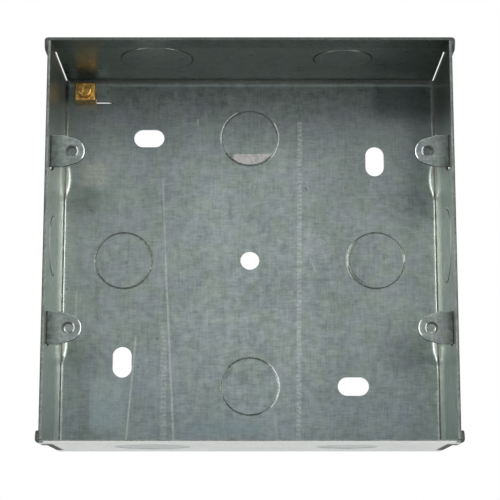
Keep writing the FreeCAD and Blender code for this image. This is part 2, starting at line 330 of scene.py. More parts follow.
strokeGroup, given, result = newGroup("lineMark", (
    ("Point", "NodeSocketVector"), ("From", "NodeSocketVector"), ("To", "NodeSocketVector"),
    ("Half width", "NodeSocketFloat"), ("Softness", "NodeSocketFloat")))
run = vectorCalc(strokeGroup, "SUBTRACT", given["To"], given["From"])
away = vectorCalc(strokeGroup, "SUBTRACT", given["Point"], given["From"])
along = calc(strokeGroup, "DIVIDE", vectorCalc(strokeGroup, "DOT_PRODUCT", away, run, "Value"),
             vectorCalc(strokeGroup, "DOT_PRODUCT", run, run, "Value"), clamp=True)
reached = makeNode(strokeGroup, "ShaderNodeVectorMath", {0: run, "Scale": along}, operation="SCALE")
offLine = vectorCalc(strokeGroup, "DISTANCE", away, reached.outputs[0], "Value")
outer = calc(strokeGroup, "ADD", given["Half width"], given["Softness"])
strokeGroup.links.new(fade(strokeGroup, offLine, given["Half width"], outer, 1.0, 0.0), result)

patchGroup, given, result = newGroup("patchMark", (
    ("Point", "NodeSocketVector"), ("Centre", "NodeSocketVector"), ("Half size", "NodeSocketVector"),
    ("Softness", "NodeSocketFloat")))
away = vectorCalc(patchGroup, "SUBTRACT", given["Point"], given["Centre"])
away = vectorCalc(patchGroup, "ABSOLUTE", away)
past = vectorCalc(patchGroup, "SUBTRACT", away, given["Half size"])
past = makeNode(patchGroup, "ShaderNodeSeparateXYZ", {0: past})
half = calc(patchGroup, "MULTIPLY", given["Softness"], 0.5)
halfBack = calc(patchGroup, "MULTIPLY", half, -1.0)
across = fade(patchGroup, past.outputs[0], halfBack, half, 1.0, 0.0)
upDown = fade(patchGroup, past.outputs[1], halfBack, half, 1.0, 0.0)
patchGroup.links.new(calc(patchGroup, "MULTIPLY", across, upDown), result)

arcSettings = {"core": 0.4, "softEnds": 0.08}    # the share of its width at full strength, and its soft ends
arcGroup, given, result = newGroup("arcMark", (
    ("Point", "NodeSocketVector"), ("Centre", "NodeSocketVector"), ("Radius", "NodeSocketFloat"),
    ("Half width", "NodeSocketFloat"), ("Middle", "NodeSocketVector"), ("Reach", "NodeSocketFloat")))
away = vectorCalc(arcGroup, "SUBTRACT", given["Point"], given["Centre"])
offRing = offFrom(arcGroup, vectorCalc(arcGroup, "LENGTH", away, output="Value"), given["Radius"])
core = calc(arcGroup, "MULTIPLY", given["Half width"], arcSettings["core"])
onRing = fade(arcGroup, offRing, core, given["Half width"], 1.0, 0.0)
heading = vectorCalc(arcGroup, "NORMALIZE", away)
turned = vectorCalc(arcGroup, "DOT_PRODUCT", heading, given["Middle"], "Value")
pastEnd = calc(arcGroup, "SUBTRACT", given["Reach"], arcSettings["softEnds"])
inReach = fade(arcGroup, turned, pastEnd, given["Reach"])
arcGroup.links.new(calc(arcGroup, "MULTIPLY", onRing, inReach), result)


# the folded box's edges and the places of its lugs

boxSettings = {
    "cutEdges": {"width": 0.1 * mm, "segments": 2, "sharp": 50, "shortest": 0.12 * mm},
    "dartSides": {"width": 0.75 * mm, "segments": 5, "sharp": 36, "shortest": 0.3 * mm},
    "lugOutline": {"width": 0.32 * mm, "segments": 3, "sharp": 50, "shortest": 0.05 * mm},
    "lugRise": 30.15 * mm,      # lug screw holes above and below the middle
    "lugHole": 60.3 * mm,       # and to the left and right of it
    "lugFront": 5.3 * mm,       # lugs' front faces behind the rim
    "smooth": 34,
}
inside = 67.5               # inside of the side walls and of the top wall, in mm from the middle of the box
plateInside = 22.5          # inside of the back plate


# galvanised sheet: mottled blue-green zinc, paler outside, with marks on the plate, painted shade in folds
# and corners, and painted highlights along the folds and on the knockouts' rings

zinc = {
    "dark": (0.140, 0.170, 0.163, 1),
    "light": (0.275, 0.317, 0.310, 1),
    "greenTint": (0.99, 1.01, 0.96, 1),
    "blueTint": (1.01, 0.99, 1.04, 1),
    # painted light on the side walls' inside and beside their folds, painted shade on the top wall and upper
    # plate
    "sideWallLightTint": (2.55, 2.38, 2.22, 1),
    "lowWallLightTint": (1.85, 1.78, 1.66, 1),
    "highWallLightTint": (1.12, 1.10, 1.04, 1),
    "foldReflectionTint": (1.55, 1.50, 1.45, 1),
    "topWallShadeTint": (0.72, 0.73, 0.66, 1),
    "topShadeTint": (0.70, 0.70, 0.71, 1),
    "lowerTint": (0.86, 0.88, 0.91, 1),
    "lugTint": (0.72, 0.76, 0.76, 1),
    "lugWarmTint": (1.02, 0.96, 0.93, 1),
    "upperLugTint": (0.86, 0.87, 0.87, 1),
    "outside": (0.55, 0.565, 0.54, 1),
    # dark specks and shear lines, and painted shade in folds, corners, rings and round the lugs
    "grimeAndShade": (0.030, 0.034, 0.027, 1),
    # scratches and roller marks, and the painted highlight under the top fold
    "rubbedAndHighlight": (0.46, 0.50, 0.48, 1),
    # painted highlights on the knockouts' rings and on the lugs
    "paintedHighlight": (0.75, 0.78, 0.76, 1),
    # painted shade on the darts, and painted highlights along the side folds
    "dartShadeTint": (0.60, 0.59, 0.60, 1),
    "foldHighlight": (0.45, 0.45, 0.45, 1),
    "plateRoughness": (0.27, 0.36),
    "wallRoughness": 0.28,
    "foldRoughness": 0.26,
    "dartRoughness": 0.46,
    "outsideRoughness": 0.62,
    "outsideMetallic": 0.12,
    "metallic": 0.85,
    "dirtRoughness": 0.5,
    "bump": {"Strength": 0.6, "Distance": 0.015 * mm},
}

# the sheet's own pattern: how each noise is stretched, its scale, detail, roughness and distortion, and its
# share of the tone
pattern = {
    "clouds": (None, (0.045, 3.0, 0.55), 0.18),
    "mottle": (None, (0.35, 4.0, 0.6), 0.24),
    "grain": (None, (2.4, 3.0, 0.6), 0.14),
    "levelLines": ((0.28, 0.28, 1.9), (1.0, 4.0, 0.65, 0.4), 0.24),
    "uprightLines": ((1.6, 1.6, 0.12), (1.0, 4.0, 0.65, 0.4), 0.20),
}
toneRange = (0.36, 0.64)
hueNoise = {"shift": (40.0, 0.0, 90.0), "noise": (0.16, 4.0, 0.6), "range": (0.38, 0.62)}
brokenMarks = {"noise": (0.9, 3.0, 0.6), "range": (0.30, 0.62, 0.35, 1.0)}
scuffMarks = {"stretch": (1.0, 1.0, 2.2), "noise": (1.1, 4.0, 0.65), "range": (0.42, 0.62)}
lugBlotches = {"noise": (0.55, 4.0, 0.6), "range": (0.36, 0.64), "atRoot": (0.0, 1.0, 0.35, 1.0)}
beadNoise = {"stretch": (0.2, 0.2, 0.9), "noise": (1.0, 3.0, 0.7), "range": (0.36, 0.60)}
wavyRelief = {"noise": (0.035, 2.0, 0.5), "waves": 6.0, "grain": 0.5}

# where masks fade: from, to, and the values there if they are not 0 and 1; all but the first in millimetres
zones = {
    "facingOut": (0.6, 0.9),                            # share of the face's direction
    "nearPlate": (20.0, 21.5),                          # by y
    "notOutside": (23.0, 23.2, 1.0, 0.0),
    "lugDepth": (-15.5, -14.5, 1.0, 0.0),
    "wallEndFront": (-21.0, -13.0),
    "wallEndBack": (12.0, 17.0, 1.0, 0.0),
    "outY": (23.2, 23.4),
    "outX": (68.2, 68.4),                               # by x
    "cornerShadowAcross": (-68.0, 68.0, 0.28, 0.76),
    "plateTopShade": (26.0, 56.0),                         # by height above the middle
    "lowerPlate": (-58.0, -24.0, 1.0, 0.0),
    "lowWall": (-50.0, 0.0),
    "highWall": (14.0, 52.0),
    "cornerShadowHeight": (30.0, 52.0),
    "underTop": (60.0, 64.0),
    "upperLugs": (-10.0, 10.0),
    "seamWidth": (46.0, 60.0, 0.42, 1.0),
    "beadStrength": (-10.0, 40.0, 0.75, 0.30),
    "beadEnds": (44.0, 58.0, 1.0, 0.55),
    "outZ": (68.2, 68.4),
    "besideFold": (10.0, 17.0, 1.0, 0.0),               # by the distance in front of the plate
    "topFoldHighlightFront": (0.1, 0.3, 1.0, 0.0),
    "sideSeamFront": (0.9, 1.5, 1.0, 0.0),
    "dartSeamFront": (1.9, 2.5, 1.0, 0.0),
    "plateBeadFront": (0.8, 1.3, 1.0, 0.0),
    "lugOffWall": (0.15, 0.5),                          # by the distance from the side wall
    "lugRootShade": (0.4, 4.6, 0.75, 0.0),
    "dartSeam": (0.55, 1.0, 0.70, 0.0),
    "onSideWall": (0.5, 1.5, 1.0, 0.0),
    "wallBeadBeside": (0.02, 0.2, 1.0, 0.0),
    "wallEndBeside": (2.4, 3.2, 1.0, 0.0),
    "fold": (1.0, 1.3, 1.0, 0.0),                       # by both of these
    "dart": (3.0, 3.4, 1.0, 0.0),
    "offFaces": (0.12, 0.35),
    "topSeam": (0.6, 1.2, 0.95, 0.0),                   # by the distance from a line or a corner
    "topFoldHighlight": (0.1, 0.8, 0.35, 0.0),
    "alongDart": (7.4, 8.2, 1.0, 0.0),
    "plateBead": (0.12, 0.38, 1.0, 0.0),
    "wallBead": (1.0, 2.6, 0.7, 0.0),
    "underside": (0.02, 0.3, 1.0, 0.0),                 # by the distance above the underside
    "aboveUnderside": (0.05, 0.3),
}
foldLines = {"belowTop": 1.9, "besideWall": 0.90, "infront": 3.4, "seamSoftness": 0.2, "seamStrength": 0.95}
seamBreaks = (0.35, 0.8, 0.8, 1.0)
mottleRange = (0.3, 0.7)
sidewaysRange = (0.3, 0.9)

# lines: from, to, half width, softness, strength; x across and height above the middle of the box
plateLines = (
    ((-31.6, 30.4), (-30.5, 2.0), 0.10, 0.35, 0.30),
    ((-30.5, 2.0), (-26.9, -66.0), 0.12, 0.40, 0.45),
    ((-40.8, -28.1), (-43.9, -66.0), 0.12, 0.45, 0.45),
    ((-62.3, -11.4), (-62.4, -20.7), 0.10, 0.35, 0.30),
    ((21.7, 1.1), (23.5, -3.8), 0.10, 0.30, 0.30),
    ((-19.1, 52.6), (-19.0, 50.6), 0.15, 0.30, 0.35),
    ((8.8, -58.0), (10.0, -66.0), 0.12, 0.35, 0.18),
    ((2.2, 30.0), (1.4, 24.0), 0.12, 0.35, 0.18),
)
# the same for columns of short level dashes
rollerMarks = (
    ((18.3, 51.2), (17.2, -66.0), 0.55, 0.55, 0.44),
    ((-30.9, -24.0), (-30.6, -66.0), 0.55, 0.90, 0.34),
)
plateDarkLines = (
    ((-55.1, -7.3), (-55.0, -20.7), 0.30, 0.90, 0.30),
    ((-58.9, -28.9), (-58.8, -66.0), 1.20, 1.50, 0.16),
    ((20.2, 26.9), (20.7, 26.0), 0.15, 0.35, 0.55),
    ((-66.0, -10.5), (-65.8, -10.4), 0.20, 0.30, 0.60),
    ((-33.2, -28.4), (-33.0, -28.4), 0.22, 0.35, 0.60),
    ((-40.0, -38.4), (-39.8, -38.4), 0.20, 0.35, 0.60),
    ((37.9, -14.7), (38.1, -14.7), 0.20, 0.35, 0.65),
    ((-44.7, -0.9), (-44.5, -0.9), 0.20, 0.40, 0.50),
    ((34.5, 27.0), (34.7, 26.9), 0.15, 0.30, 0.45),
    ((-25.7, 66.9), (-25.4, 66.9), 0.30, 0.40, 0.85),
)
# patches: centre, half size, softness, colour, strength, share that breaks up into scuffs
platePatches = (
    ((-56.9, 31.8), (5.0, 4.4), 3.0, (0.40, 0.41, 0.34, 1), 0.55, 0.7),
    ((-59.2, 22.0), (4.5, 4.6), 3.5, (0.155, 0.185, 0.175, 1), 0.50, 0.3),
    ((-50.5, -51.5), (6.2, 9.0), 4.0, (0.31, 0.39, 0.38, 1), 0.45, 0.5),
    ((-8.0, -60.3), (12.0, 1.8), 2.5, (0.17, 0.24, 0.25, 1), 0.45, 0.2),
    ((56.0, -34.0), (6.5, 6.0), 4.0, (0.15, 0.18, 0.18, 1), 0.45, 0.3),
    ((11.7, 37.0), (1.6, 4.5), 1.6, (0.38, 0.42, 0.41, 1), 0.40, 0.8),
    ((24.5, 6.0), (5.0, 5.0), 4.0, (0.36, 0.40, 0.39, 1), 0.35, 0.9),
    ((-62.5, 5.0), (2.5, 58.0), 4.0, (0.20, 0.235, 0.215, 1), 0.35, 0.2),
    # the last two are painted shadow of the right and top walls in the plate's upper right corner
    ((62.0, 40.0), (4.0, 24.0), 7.0, (0.10, 0.13, 0.13, 1), 0.45, 0.2),
    ((57.0, 60.0), (12.0, 7.0), 8.0, (0.055, 0.070, 0.068, 1), 0.75, 0.2),
)
# the roller's dashes: from one to the next, how uneven they are, and how their sine becomes a mask
rollerDashes = {"pitch": 1.6, "unevenness": 16.0, "range": (-0.4, 0.8, 0.30, 1.0)}
# arcs: centre, middle angle, half angle, radius, half width, strength; painted highlights first
ringRadius = 10.35
plateRingHighlights = (
    ((0, 45.5), 153, 34, ringRadius + 0.25, 0.36, 0.50),
    ((0, 45.5), -8, 38, ringRadius + 0.15, 0.36, 0.55),
    ((0, -45.5), 2, 44, ringRadius + 0.15, 0.36, 0.50),
    ((45.5, 0), 180, 30, ringRadius + 0.25, 0.42, 0.50),
    ((45.5, 0), 22, 18, ringRadius - 0.35, 0.35, 0.35),
    ((-45.5, 0), 182, 6, ringRadius + 0.20, 0.50, 0.30),
)
# dark shear lines in the rings, with painted shade at their tops and bottoms
plateRingLinesAndShade = (
    ((0, 45.5), 105, 45, ringRadius - 0.25, 0.55, 0.72),
    ((0, 45.5), 35, 22, ringRadius - 0.35, 0.50, 0.50),
    ((0, 45.5), 265, 50, ringRadius - 0.05, 0.55, 0.85),
    ((0, -45.5), 98, 44, ringRadius - 0.20, 0.66, 0.88),
    ((0, -45.5), 150, 5, ringRadius - 1.00, 1.30, 0.60),
    ((0, -45.5), 48, 7, ringRadius - 0.90, 0.80, 0.45),
    ((0, -45.5), 186, 40, ringRadius, 0.45, 0.40),
    ((0, -45.5), 255, 38, ringRadius - 0.10, 0.50, 0.80),
    ((45.5, 0), 75, 60, ringRadius - 0.10, 0.45, 0.70),
    ((45.5, 0), 275, 80, ringRadius - 0.10, 0.45, 0.75),
    ((45.5, 0), 180, 45, ringRadius - 0.75, 0.60, 0.40),
    ((45.5, 0), 228, 7, ringRadius - 0.60, 1.00, 0.75),
    ((-45.5, 0), 118, 58, ringRadius - 0.15, 0.58, 0.75),
    ((-45.5, 0), 250, 65, ringRadius - 0.10, 0.58, 0.80),
    ((-45.5, 0), 5, 75, ringRadius - 0.15, 0.62, 0.80),
)
# the lighter segment of the top knockout, under a ragged level chord and with slanted streaks
chordMark = {
    "ringCentre": (0.0, 45.5, 0.0),
    "inRing": (9.7, 9.9, 1.0, 0.0),
    "top": 39.7,
    "topSoftness": 0.3,
    "ragged": 0.9,
    "left": -5.2,
    "leftSoftness": 1.6,
    "streakTurn": -28,
    "streakSize": (0.7, 1.0, 1.8),
    "streakNoise": (1.0, 4.0, 0.65),
    "streakRange": (0.36, 0.60, 0.35, 1.0),
    "colour": (0.41, 0.39, 0.39, 1),
}
# arcs on the lugs round their screw holes, with x counted from the middle outwards; the light ones, painted
# highlights beside the hole and along the nose, count height that way too; the dark ones are painted shadow
lugHighlightArcs = (
    ((60.3, 30.15), 180, 36, 2.10, 0.27, 0.70),
    ((60.3, 30.15), 180, 32, 4.35, 0.42, 0.75),
)
lugDarkArcs = (
    ((60.3, 30.15), 52, 112, 1.72, 0.50, 0.92),
    ((60.3, -30.15), 52, 112, 1.72, 0.50, 0.92),
)
# rings on the walls' knockouts: on the top wall by x and y, on the side walls by y and height, each of them
# three times a little apart, which widens its front and back
wideRadius = 12.75
wholeRing = (0, 179)
topWallRings = (
    ((-32.7, -3.0), *wholeRing, wideRadius, 0.40, 0.70),
    ((32.7, -3.0), *wholeRing, ringRadius, 0.40, 0.70),
)
sideRings = {
    "middles": (-6.0, -5.0, -4.0),
    "radius": (-1.0, 1.0, ringRadius, wideRadius),    # the first to the left of x -1, the second right of 1
    "line": (0.70, 0.50),
}


def flatVector(pair):
    return (pair[0], pair[1], 0.0)


def facingVector(degrees):
    return (math.cos(math.radians(degrees)), math.sin(math.radians(degrees)), 0.0)


def groupMask(tree, group, inputs):
    return makeNode(tree, "ShaderNodeGroup", inputs, node_tree=group).outputs["Mask"]


def lineMasks(tree, point, lines, broken):
    masks = []
    for start, end, halfWidth, softness, strength in lines:
        mask = groupMask(tree, strokeGroup, {"Point": point, "From": flatVector(start), "To": flatVector(end),
                                             "Half width": halfWidth, "Softness": softness})
        masks.append(calc(tree, "MULTIPLY", mask, strength))
    return calc(tree, "MULTIPLY", overlay(tree, masks), broken)


def arcMasks(tree, point, arcs, broken):
    masks = []
    for centre, middle, half, radius, halfWidth, strength in arcs:
        mask = groupMask(tree, arcGroup, {"Point": point, "Centre": flatVector(centre), "Radius": radius,
                                          "Half width": halfWidth, "Middle": facingVector(middle),
                                          "Reach": math.cos(math.radians(half))})
        masks.append(calc(tree, "MULTIPLY", mask, strength))
    return calc(tree, "MULTIPLY", overlay(tree, masks), broken)


def sheetPattern(tree, at):
    # clouds, mottle, grain and rolling lines both ways, the tone that they add up to and its hue
    for name, (stretch, settings, share) in pattern.items():
        vector = vectorCalc(tree, "MULTIPLY", at["inMm"], stretch) if stretch else at["inMm"]
        at[name] = noise(tree, vector, *settings)
    shares = {name: share for name, (stretch, settings, share) in pattern.items()}
    tone = calc(tree, "MULTIPLY", at["mottle"], shares["mottle"])
    for name in ("clouds", "grain", "levelLines", "uprightLines"):
        tone = calc(tree, "MULTIPLY_ADD", at[name], shares[name], tone)
    at["tone"] = fade(tree, tone, *toneRange)
    colour = mixColour(tree, at["tone"], zinc["dark"], zinc["light"])
    shifted = vectorCalc(tree, "ADD", at["inMm"], hueNoise["shift"])
    hue = fade(tree, noise(tree, shifted, *hueNoise["noise"]), *hueNoise["range"])
    tint = mixColour(tree, hue, zinc["greenTint"], zinc["blueTint"])
    return mixColour(tree, 1.0, colour, tint, "MULTIPLY")


def platePatchMarks(tree, at, colour):
    # soft patches inside the back plate, two of them painted shadow in its upper right corner; its upper part
    # is darker with painted shade under the top wall, and its lower part is darker too
    at["height"] = calc(tree, "SUBTRACT", at["z"], boxMiddle / mm)
    at["point"] = flatPoint(tree, at["x"], at["height"])
    onPlate = multiply(tree, fade(tree, at["y"], *zones["nearPlate"]),
                       fade(tree, at["facingY"], *zones["facingOut"]))
    onPlate = multiply(tree, onPlate, fade(tree, at["y"], *zones["notOutside"]))
    at["onPlate"] = onPlate
    at["broken"] = fade(tree, noise(tree, at["inMm"], *brokenMarks["noise"]), *brokenMarks["range"])
    stretched = vectorCalc(tree, "MULTIPLY", at["inMm"], scuffMarks["stretch"])
    scuffs = fade(tree, noise(tree, stretched, *scuffMarks["noise"]), *scuffMarks["range"])
    for centre, halfSize, softness, patchColour, strength, scuffed in platePatches:
        mask = groupMask(tree, patchGroup, {"Point": at["point"], "Centre": flatVector(centre),
                                            "Half size": flatVector(halfSize), "Softness": softness})
        share = calc(tree, "MULTIPLY_ADD", scuffs, scuffed, 1.0 - scuffed)
        mask = multiply(tree, multiply(tree, mask, onPlate), multiply(tree, share, strength))
        colour = mixColour(tree, mask, colour, patchColour)
    # painted shade under the top wall on the plate's upper part, and darker towards the bottom
    upper = multiply(tree, onPlate, fade(tree, at["height"], *zones["plateTopShade"]))
    lower = multiply(tree, onPlate, fade(tree, at["height"], *zones["lowerPlate"]))
    colour = tinted(tree, upper, colour, zinc["topShadeTint"])
    return tinted(tree, lower, colour, zinc["lowerTint"])


def chordSegment(tree, at, colour):
    # inside the top knockout's ring, under the chord and to the right of its left end
    fromCentre = vectorCalc(tree, "DISTANCE", at["point"], chordMark["ringCentre"], "Value")
    chord = fade(tree, fromCentre, *chordMark["inRing"])
    ragged = calc(tree, "ADD", at["height"], chordMark["ragged"] / 2)
    ragged = calc(tree, "MULTIPLY_ADD", at["mottle"], -chordMark["ragged"], ragged)
    top, left = chordMark["top"], chordMark["left"]
    chord = multiply(tree, chord, fade(tree, ragged, top - chordMark["topSoftness"], top, 1.0, 0.0))
    chord = multiply(tree, chord, fade(tree, at["x"], left - chordMark["leftSoftness"], left))
    turn = (0, math.radians(chordMark["streakTurn"]), 0)
    slanted = makeNode(tree, "ShaderNodeMapping",
                       {"Vector": at["inMm"], "Rotation": turn, "Scale": chordMark["streakSize"]},
                       vector_type="TEXTURE").outputs[0]
    streaks = noise(tree, slanted, *chordMark["streakNoise"])
    chord = multiply(tree, chord, at["onPlate"])
    chord = multiply(tree, chord, fade(tree, streaks, *chordMark["streakRange"]))
    return mixColour(tree, chord, colour, chordMark["colour"])


def plateLineMarks(tree, at, colour):
    # lines, roller marks and arcs inside the back plate, the light ones first: scratches and painted
    # highlights on the knockouts' rings, then dark specks and dark ring lines that are partly painted shade
    point, onPlate, broken = at["point"], at["onPlate"], at["broken"]
    dashes = calc(tree, "MULTIPLY", at["height"], 2 * math.pi / rollerDashes["pitch"])
    dashes = calc(tree, "MULTIPLY_ADD", at["mottle"], rollerDashes["unevenness"], dashes)
    dashes = fade(tree, calc(tree, "SINE", dashes), *rollerDashes["range"])
    dashes = multiply(tree, dashes, broken)
    light = overlay(tree, [lineMasks(tree, point, plateLines, broken),
                           lineMasks(tree, point, rollerMarks, dashes)])
    ringHighlights = arcMasks(tree, point, plateRingHighlights, broken)
    dark = overlay(tree, [lineMasks(tree, point, plateDarkLines, broken),
                          arcMasks(tree, point, plateRingLinesAndShade, broken)])
    at["dark"] = multiply(tree, dark, onPlate)
    colour = mixColour(tree, multiply(tree, light, onPlate), colour, zinc["rubbedAndHighlight"])
    colour = mixColour(tree, multiply(tree, ringHighlights, onPlate), colour, zinc["paintedHighlight"])
    return mixColour(tree, at["dark"], colour, zinc["grimeAndShade"])


def wallShades(tree, at, colour):
    # painted light and shade: the side walls' inside is lit brighter half way up, with a painted reflection
    # beside the fold and painted shadow high up, most on the right; the top wall's inside is in painted shade
    at["besideX"] = calc(tree, "SUBTRACT", inside, calc(tree, "ABSOLUTE", at["x"]))
    at["belowTop"] = calc(tree, "SUBTRACT", inside, at["height"])
    at["infront"] = calc(tree, "SUBTRACT", plateInside, at["y"])
    height, sideWall = at["height"], at["facingX"]
    lowToMiddle = fade(tree, height, *zones["lowWall"])
    wallLightTint = mixColour(tree, lowToMiddle, zinc["lowWallLightTint"], zinc["sideWallLightTint"])
    wallLightTint = mixColour(tree, fade(tree, height, *zones["highWall"]), wallLightTint, zinc["highWallLightTint"])
    colour = tinted(tree, sideWall, colour, wallLightTint)
    beside = multiply(tree, sideWall, fade(tree, at["infront"], *zones["besideFold"]))
    colour = tinted(tree, beside, colour, zinc["foldReflectionTint"])
    # painted shadow high up on the side walls, most on the right
    cornerShadow = multiply(tree, fade(tree, height, *zones["cornerShadowHeight"]),
                          fade(tree, at["x"], *zones["cornerShadowAcross"]))
    colour = mixColour(tree, multiply(tree, cornerShadow, sideWall), colour, zinc["grimeAndShade"])
    # painted shade on the top wall's inside
    at["underTop"] = multiply(tree, at["facingZ"], fade(tree, height, *zones["underTop"]))
    return tinted(tree, at["underTop"], colour, zinc["topWallShadeTint"])


def lugMarks(tree, at, colour):
    # lugs: darker than the plate, with painted highlights beside the screw hole and along the nose, painted
    # shadow at the hole's edge and painted shade towards the bend
    height, besideX = at["height"], at["besideX"]
    folded = flatPoint(tree, calc(tree, "ABSOLUTE", at["x"]), height)
    onLug = multiply(tree, fade(tree, at["y"], *zones["lugDepth"]),
                     fade(tree, besideX, *zones["lugOffWall"]))
    mirrored = vectorCalc(tree, "ABSOLUTE", folded)
    lugHighlights = multiply(tree, arcMasks(tree, mirrored, lugHighlightArcs, 1.0), onLug)
    at["lugDark"] = multiply(tree, arcMasks(tree, folded, lugDarkArcs, 1.0), onLug)
    blotches = fade(tree, noise(tree, at["inMm"], *lugBlotches["noise"]), *lugBlotches["range"])
    lugRootShade = multiply(tree, fade(tree, besideX, *zones["lugRootShade"]), onLug)
    lugRootShade = multiply(tree, lugRootShade, fade(tree, blotches, *lugBlotches["atRoot"]))
    lugTint = mixColour(tree, blotches, zinc["lugTint"], zinc["lugWarmTint"])
    isUpper = fade(tree, height, *zones["upperLugs"])
    lugTint = tinted(tree, isUpper, lugTint, zinc["upperLugTint"])
    colour = tinted(tree, onLug, colour, lugTint)
    colour = mixColour(tree, calc(tree, "MAXIMUM", lugRootShade, at["lugDark"]), colour, zinc["grimeAndShade"])
    return mixColour(tree, lugHighlights, colour, zinc["paintedHighlight"])


def seamMasks(tree, at):
    # painted shade in the top fold, in the side folds and beside the darts, and a painted highlight line
    # under the top wall
    besideX, belowTop, infront = at["besideX"], at["belowTop"], at["infront"]
    topCorner = flatPoint(tree, belowTop, infront)
    topSeam = fade(tree, vectorCalc(tree, "LENGTH", topCorner, output="Value"), *zones["topSeam"])
    topFoldHighlight = fade(tree, offFrom(tree, belowTop, foldLines["belowTop"]), *zones["topFoldHighlight"])
    topFoldHighlight = multiply(tree, topFoldHighlight, fade(tree, infront, *zones["topFoldHighlightFront"]))
    seamWidth = fade(tree, at["height"], *zones["seamWidth"])
    seamEnd = calc(tree, "ADD", seamWidth, foldLines["seamSoftness"])
    sideSeam = fade(tree, besideX, seamWidth, seamEnd, foldLines["seamStrength"], 0.0)
    sideSeam = multiply(tree, sideSeam, fade(tree, infront, *zones["sideSeamFront"]))
    besideDart = offFrom(tree, calc(tree, "ABSOLUTE", at["height"]), boxSettings["lugRise"] / mm)
    at["atDarts"] = fade(tree, besideDart, *zones["alongDart"])
    dartSeam = multiply(tree, at["atDarts"], fade(tree, besideX, *zones["dartSeam"]))
    dartSeam = multiply(tree, dartSeam, fade(tree, infront, *zones["dartSeamFront"]))
    seams = overlay(tree, [topSeam, sideSeam, dartSeam])
    return topFoldHighlight, multiply(tree, seams, fade(tree, at["broken"], *seamBreaks))


def seamsAndRings(tree, at, colour):
    # painted shade in the folds, and dark lines in the rings of the walls' knockouts
    topFoldHighlight, seams = seamMasks(tree, at)
    overTop = flatPoint(tree, at["x"], at["y"])
    upSide = flatPoint(tree, at["y"], at["height"])
    topRings = multiply(tree, arcMasks(tree, overTop, topWallRings, at["broken"]), at["underTop"])
    radius = fade(tree, at["x"], *sideRings["radius"])
    arcs = [((middle, 0.0), *wholeRing, radius, *sideRings["line"]) for middle in sideRings["middles"]]
    rings = multiply(tree, arcMasks(tree, upSide, arcs, at["broken"]), at["facingX"])
    rings = multiply(tree, rings, fade(tree, at["besideX"], *zones["onSideWall"]))
    dirt = overlay(tree, [seams, topRings, rings])
    colour = mixColour(tree, topFoldHighlight, colour, zinc["rubbedAndHighlight"])
    colour = mixColour(tree, dirt, colour, zinc["grimeAndShade"])
    at["dirt"] = overlay(tree, [dirt, at["dark"], at["lugDark"]])
    return colour


def foldMarks(tree, at, colour):
    # painted highlights: broken bright lines on both sides of the side folds; the darts are darker, painted
    # shade
    height, besideX, infront = at["height"], at["besideX"], at["infront"]
    stretched = vectorCalc(tree, "MULTIPLY", at["inMm"], beadNoise["stretch"])
    beaded = fade(tree, noise(tree, stretched, *beadNoise["noise"]), *beadNoise["range"])
    beaded = multiply(tree, beaded, fade(tree, height, *zones["beadStrength"]))
    plateSide = fade(tree, offFrom(tree, besideX, foldLines["besideWall"]), *zones["plateBead"])
    plateSide = multiply(tree, plateSide, fade(tree, infront, *zones["plateBeadFront"]))
    wallSide = fade(tree, offFrom(tree, infront, foldLines["infront"]), *zones["wallBead"])
    wallSide = multiply(tree, wallSide, fade(tree, besideX, *zones["wallBeadBeside"]))
    lines = multiply(tree, calc(tree, "MAXIMUM", plateSide, wallSide), beaded)
    lines = multiply(tree, lines, fade(tree, calc(tree, "ABSOLUTE", height), *zones["beadEnds"]))
    lines = multiply(tree, lines, fade(tree, at["y"], *zones["notOutside"]))
    colour = mixColour(tree, lines, colour, zinc["foldHighlight"])
    at["inFold"] = multiply(tree, fade(tree, besideX, *zones["fold"]), fade(tree, infront, *zones["fold"]))
    inDart = multiply(tree, fade(tree, besideX, *zones["dart"]), fade(tree, infront, *zones["dart"]))
    offFaces = fade(tree, calc(tree, "MINIMUM", besideX, infront), *zones["offFaces"])
    at["inDart"] = multiply(tree, inDart, at["atDarts"], offFaces)
    return tinted(tree, at["inDart"], colour, zinc["dartShadeTint"])


def outsideShades(tree, at, colour):
    # the outside of the box is paler, which along the underside also paints its bright reflection; the ends
    # of the underside beside the side walls are in painted shade
    outX = fade(tree, calc(tree, "ABSOLUTE", at["x"]), *zones["outX"])
    outZ = fade(tree, calc(tree, "ABSOLUTE", at["height"]), *zones["outZ"])
    outY = fade(tree, at["y"], *zones["outY"])
    at["outside"] = overlay(tree, [outX, outZ, outY])
    palerOutside = mixColour(tree, at["tone"], zinc["light"], zinc["outside"])
    colour = mixColour(tree, at["outside"], colour, palerOutside)
    # painted shade at the ends of the underside, beside the side walls
    wallEnd = multiply(tree, fade(tree, at["z"], *zones["underside"]),
                       fade(tree, at["besideX"], *zones["wallEndBeside"]))
    wallEnd = multiply(tree, wallEnd, fade(tree, at["y"], *zones["wallEndFront"]))
    wallEnd = multiply(tree, wallEnd, fade(tree, at["y"], *zones["wallEndBack"]))
    colour = mixColour(tree, wallEnd, colour, zinc["grimeAndShade"])
    at["dirt"] = calc(tree, "MAXIMUM", at["dirt"], wallEnd)
    return colour


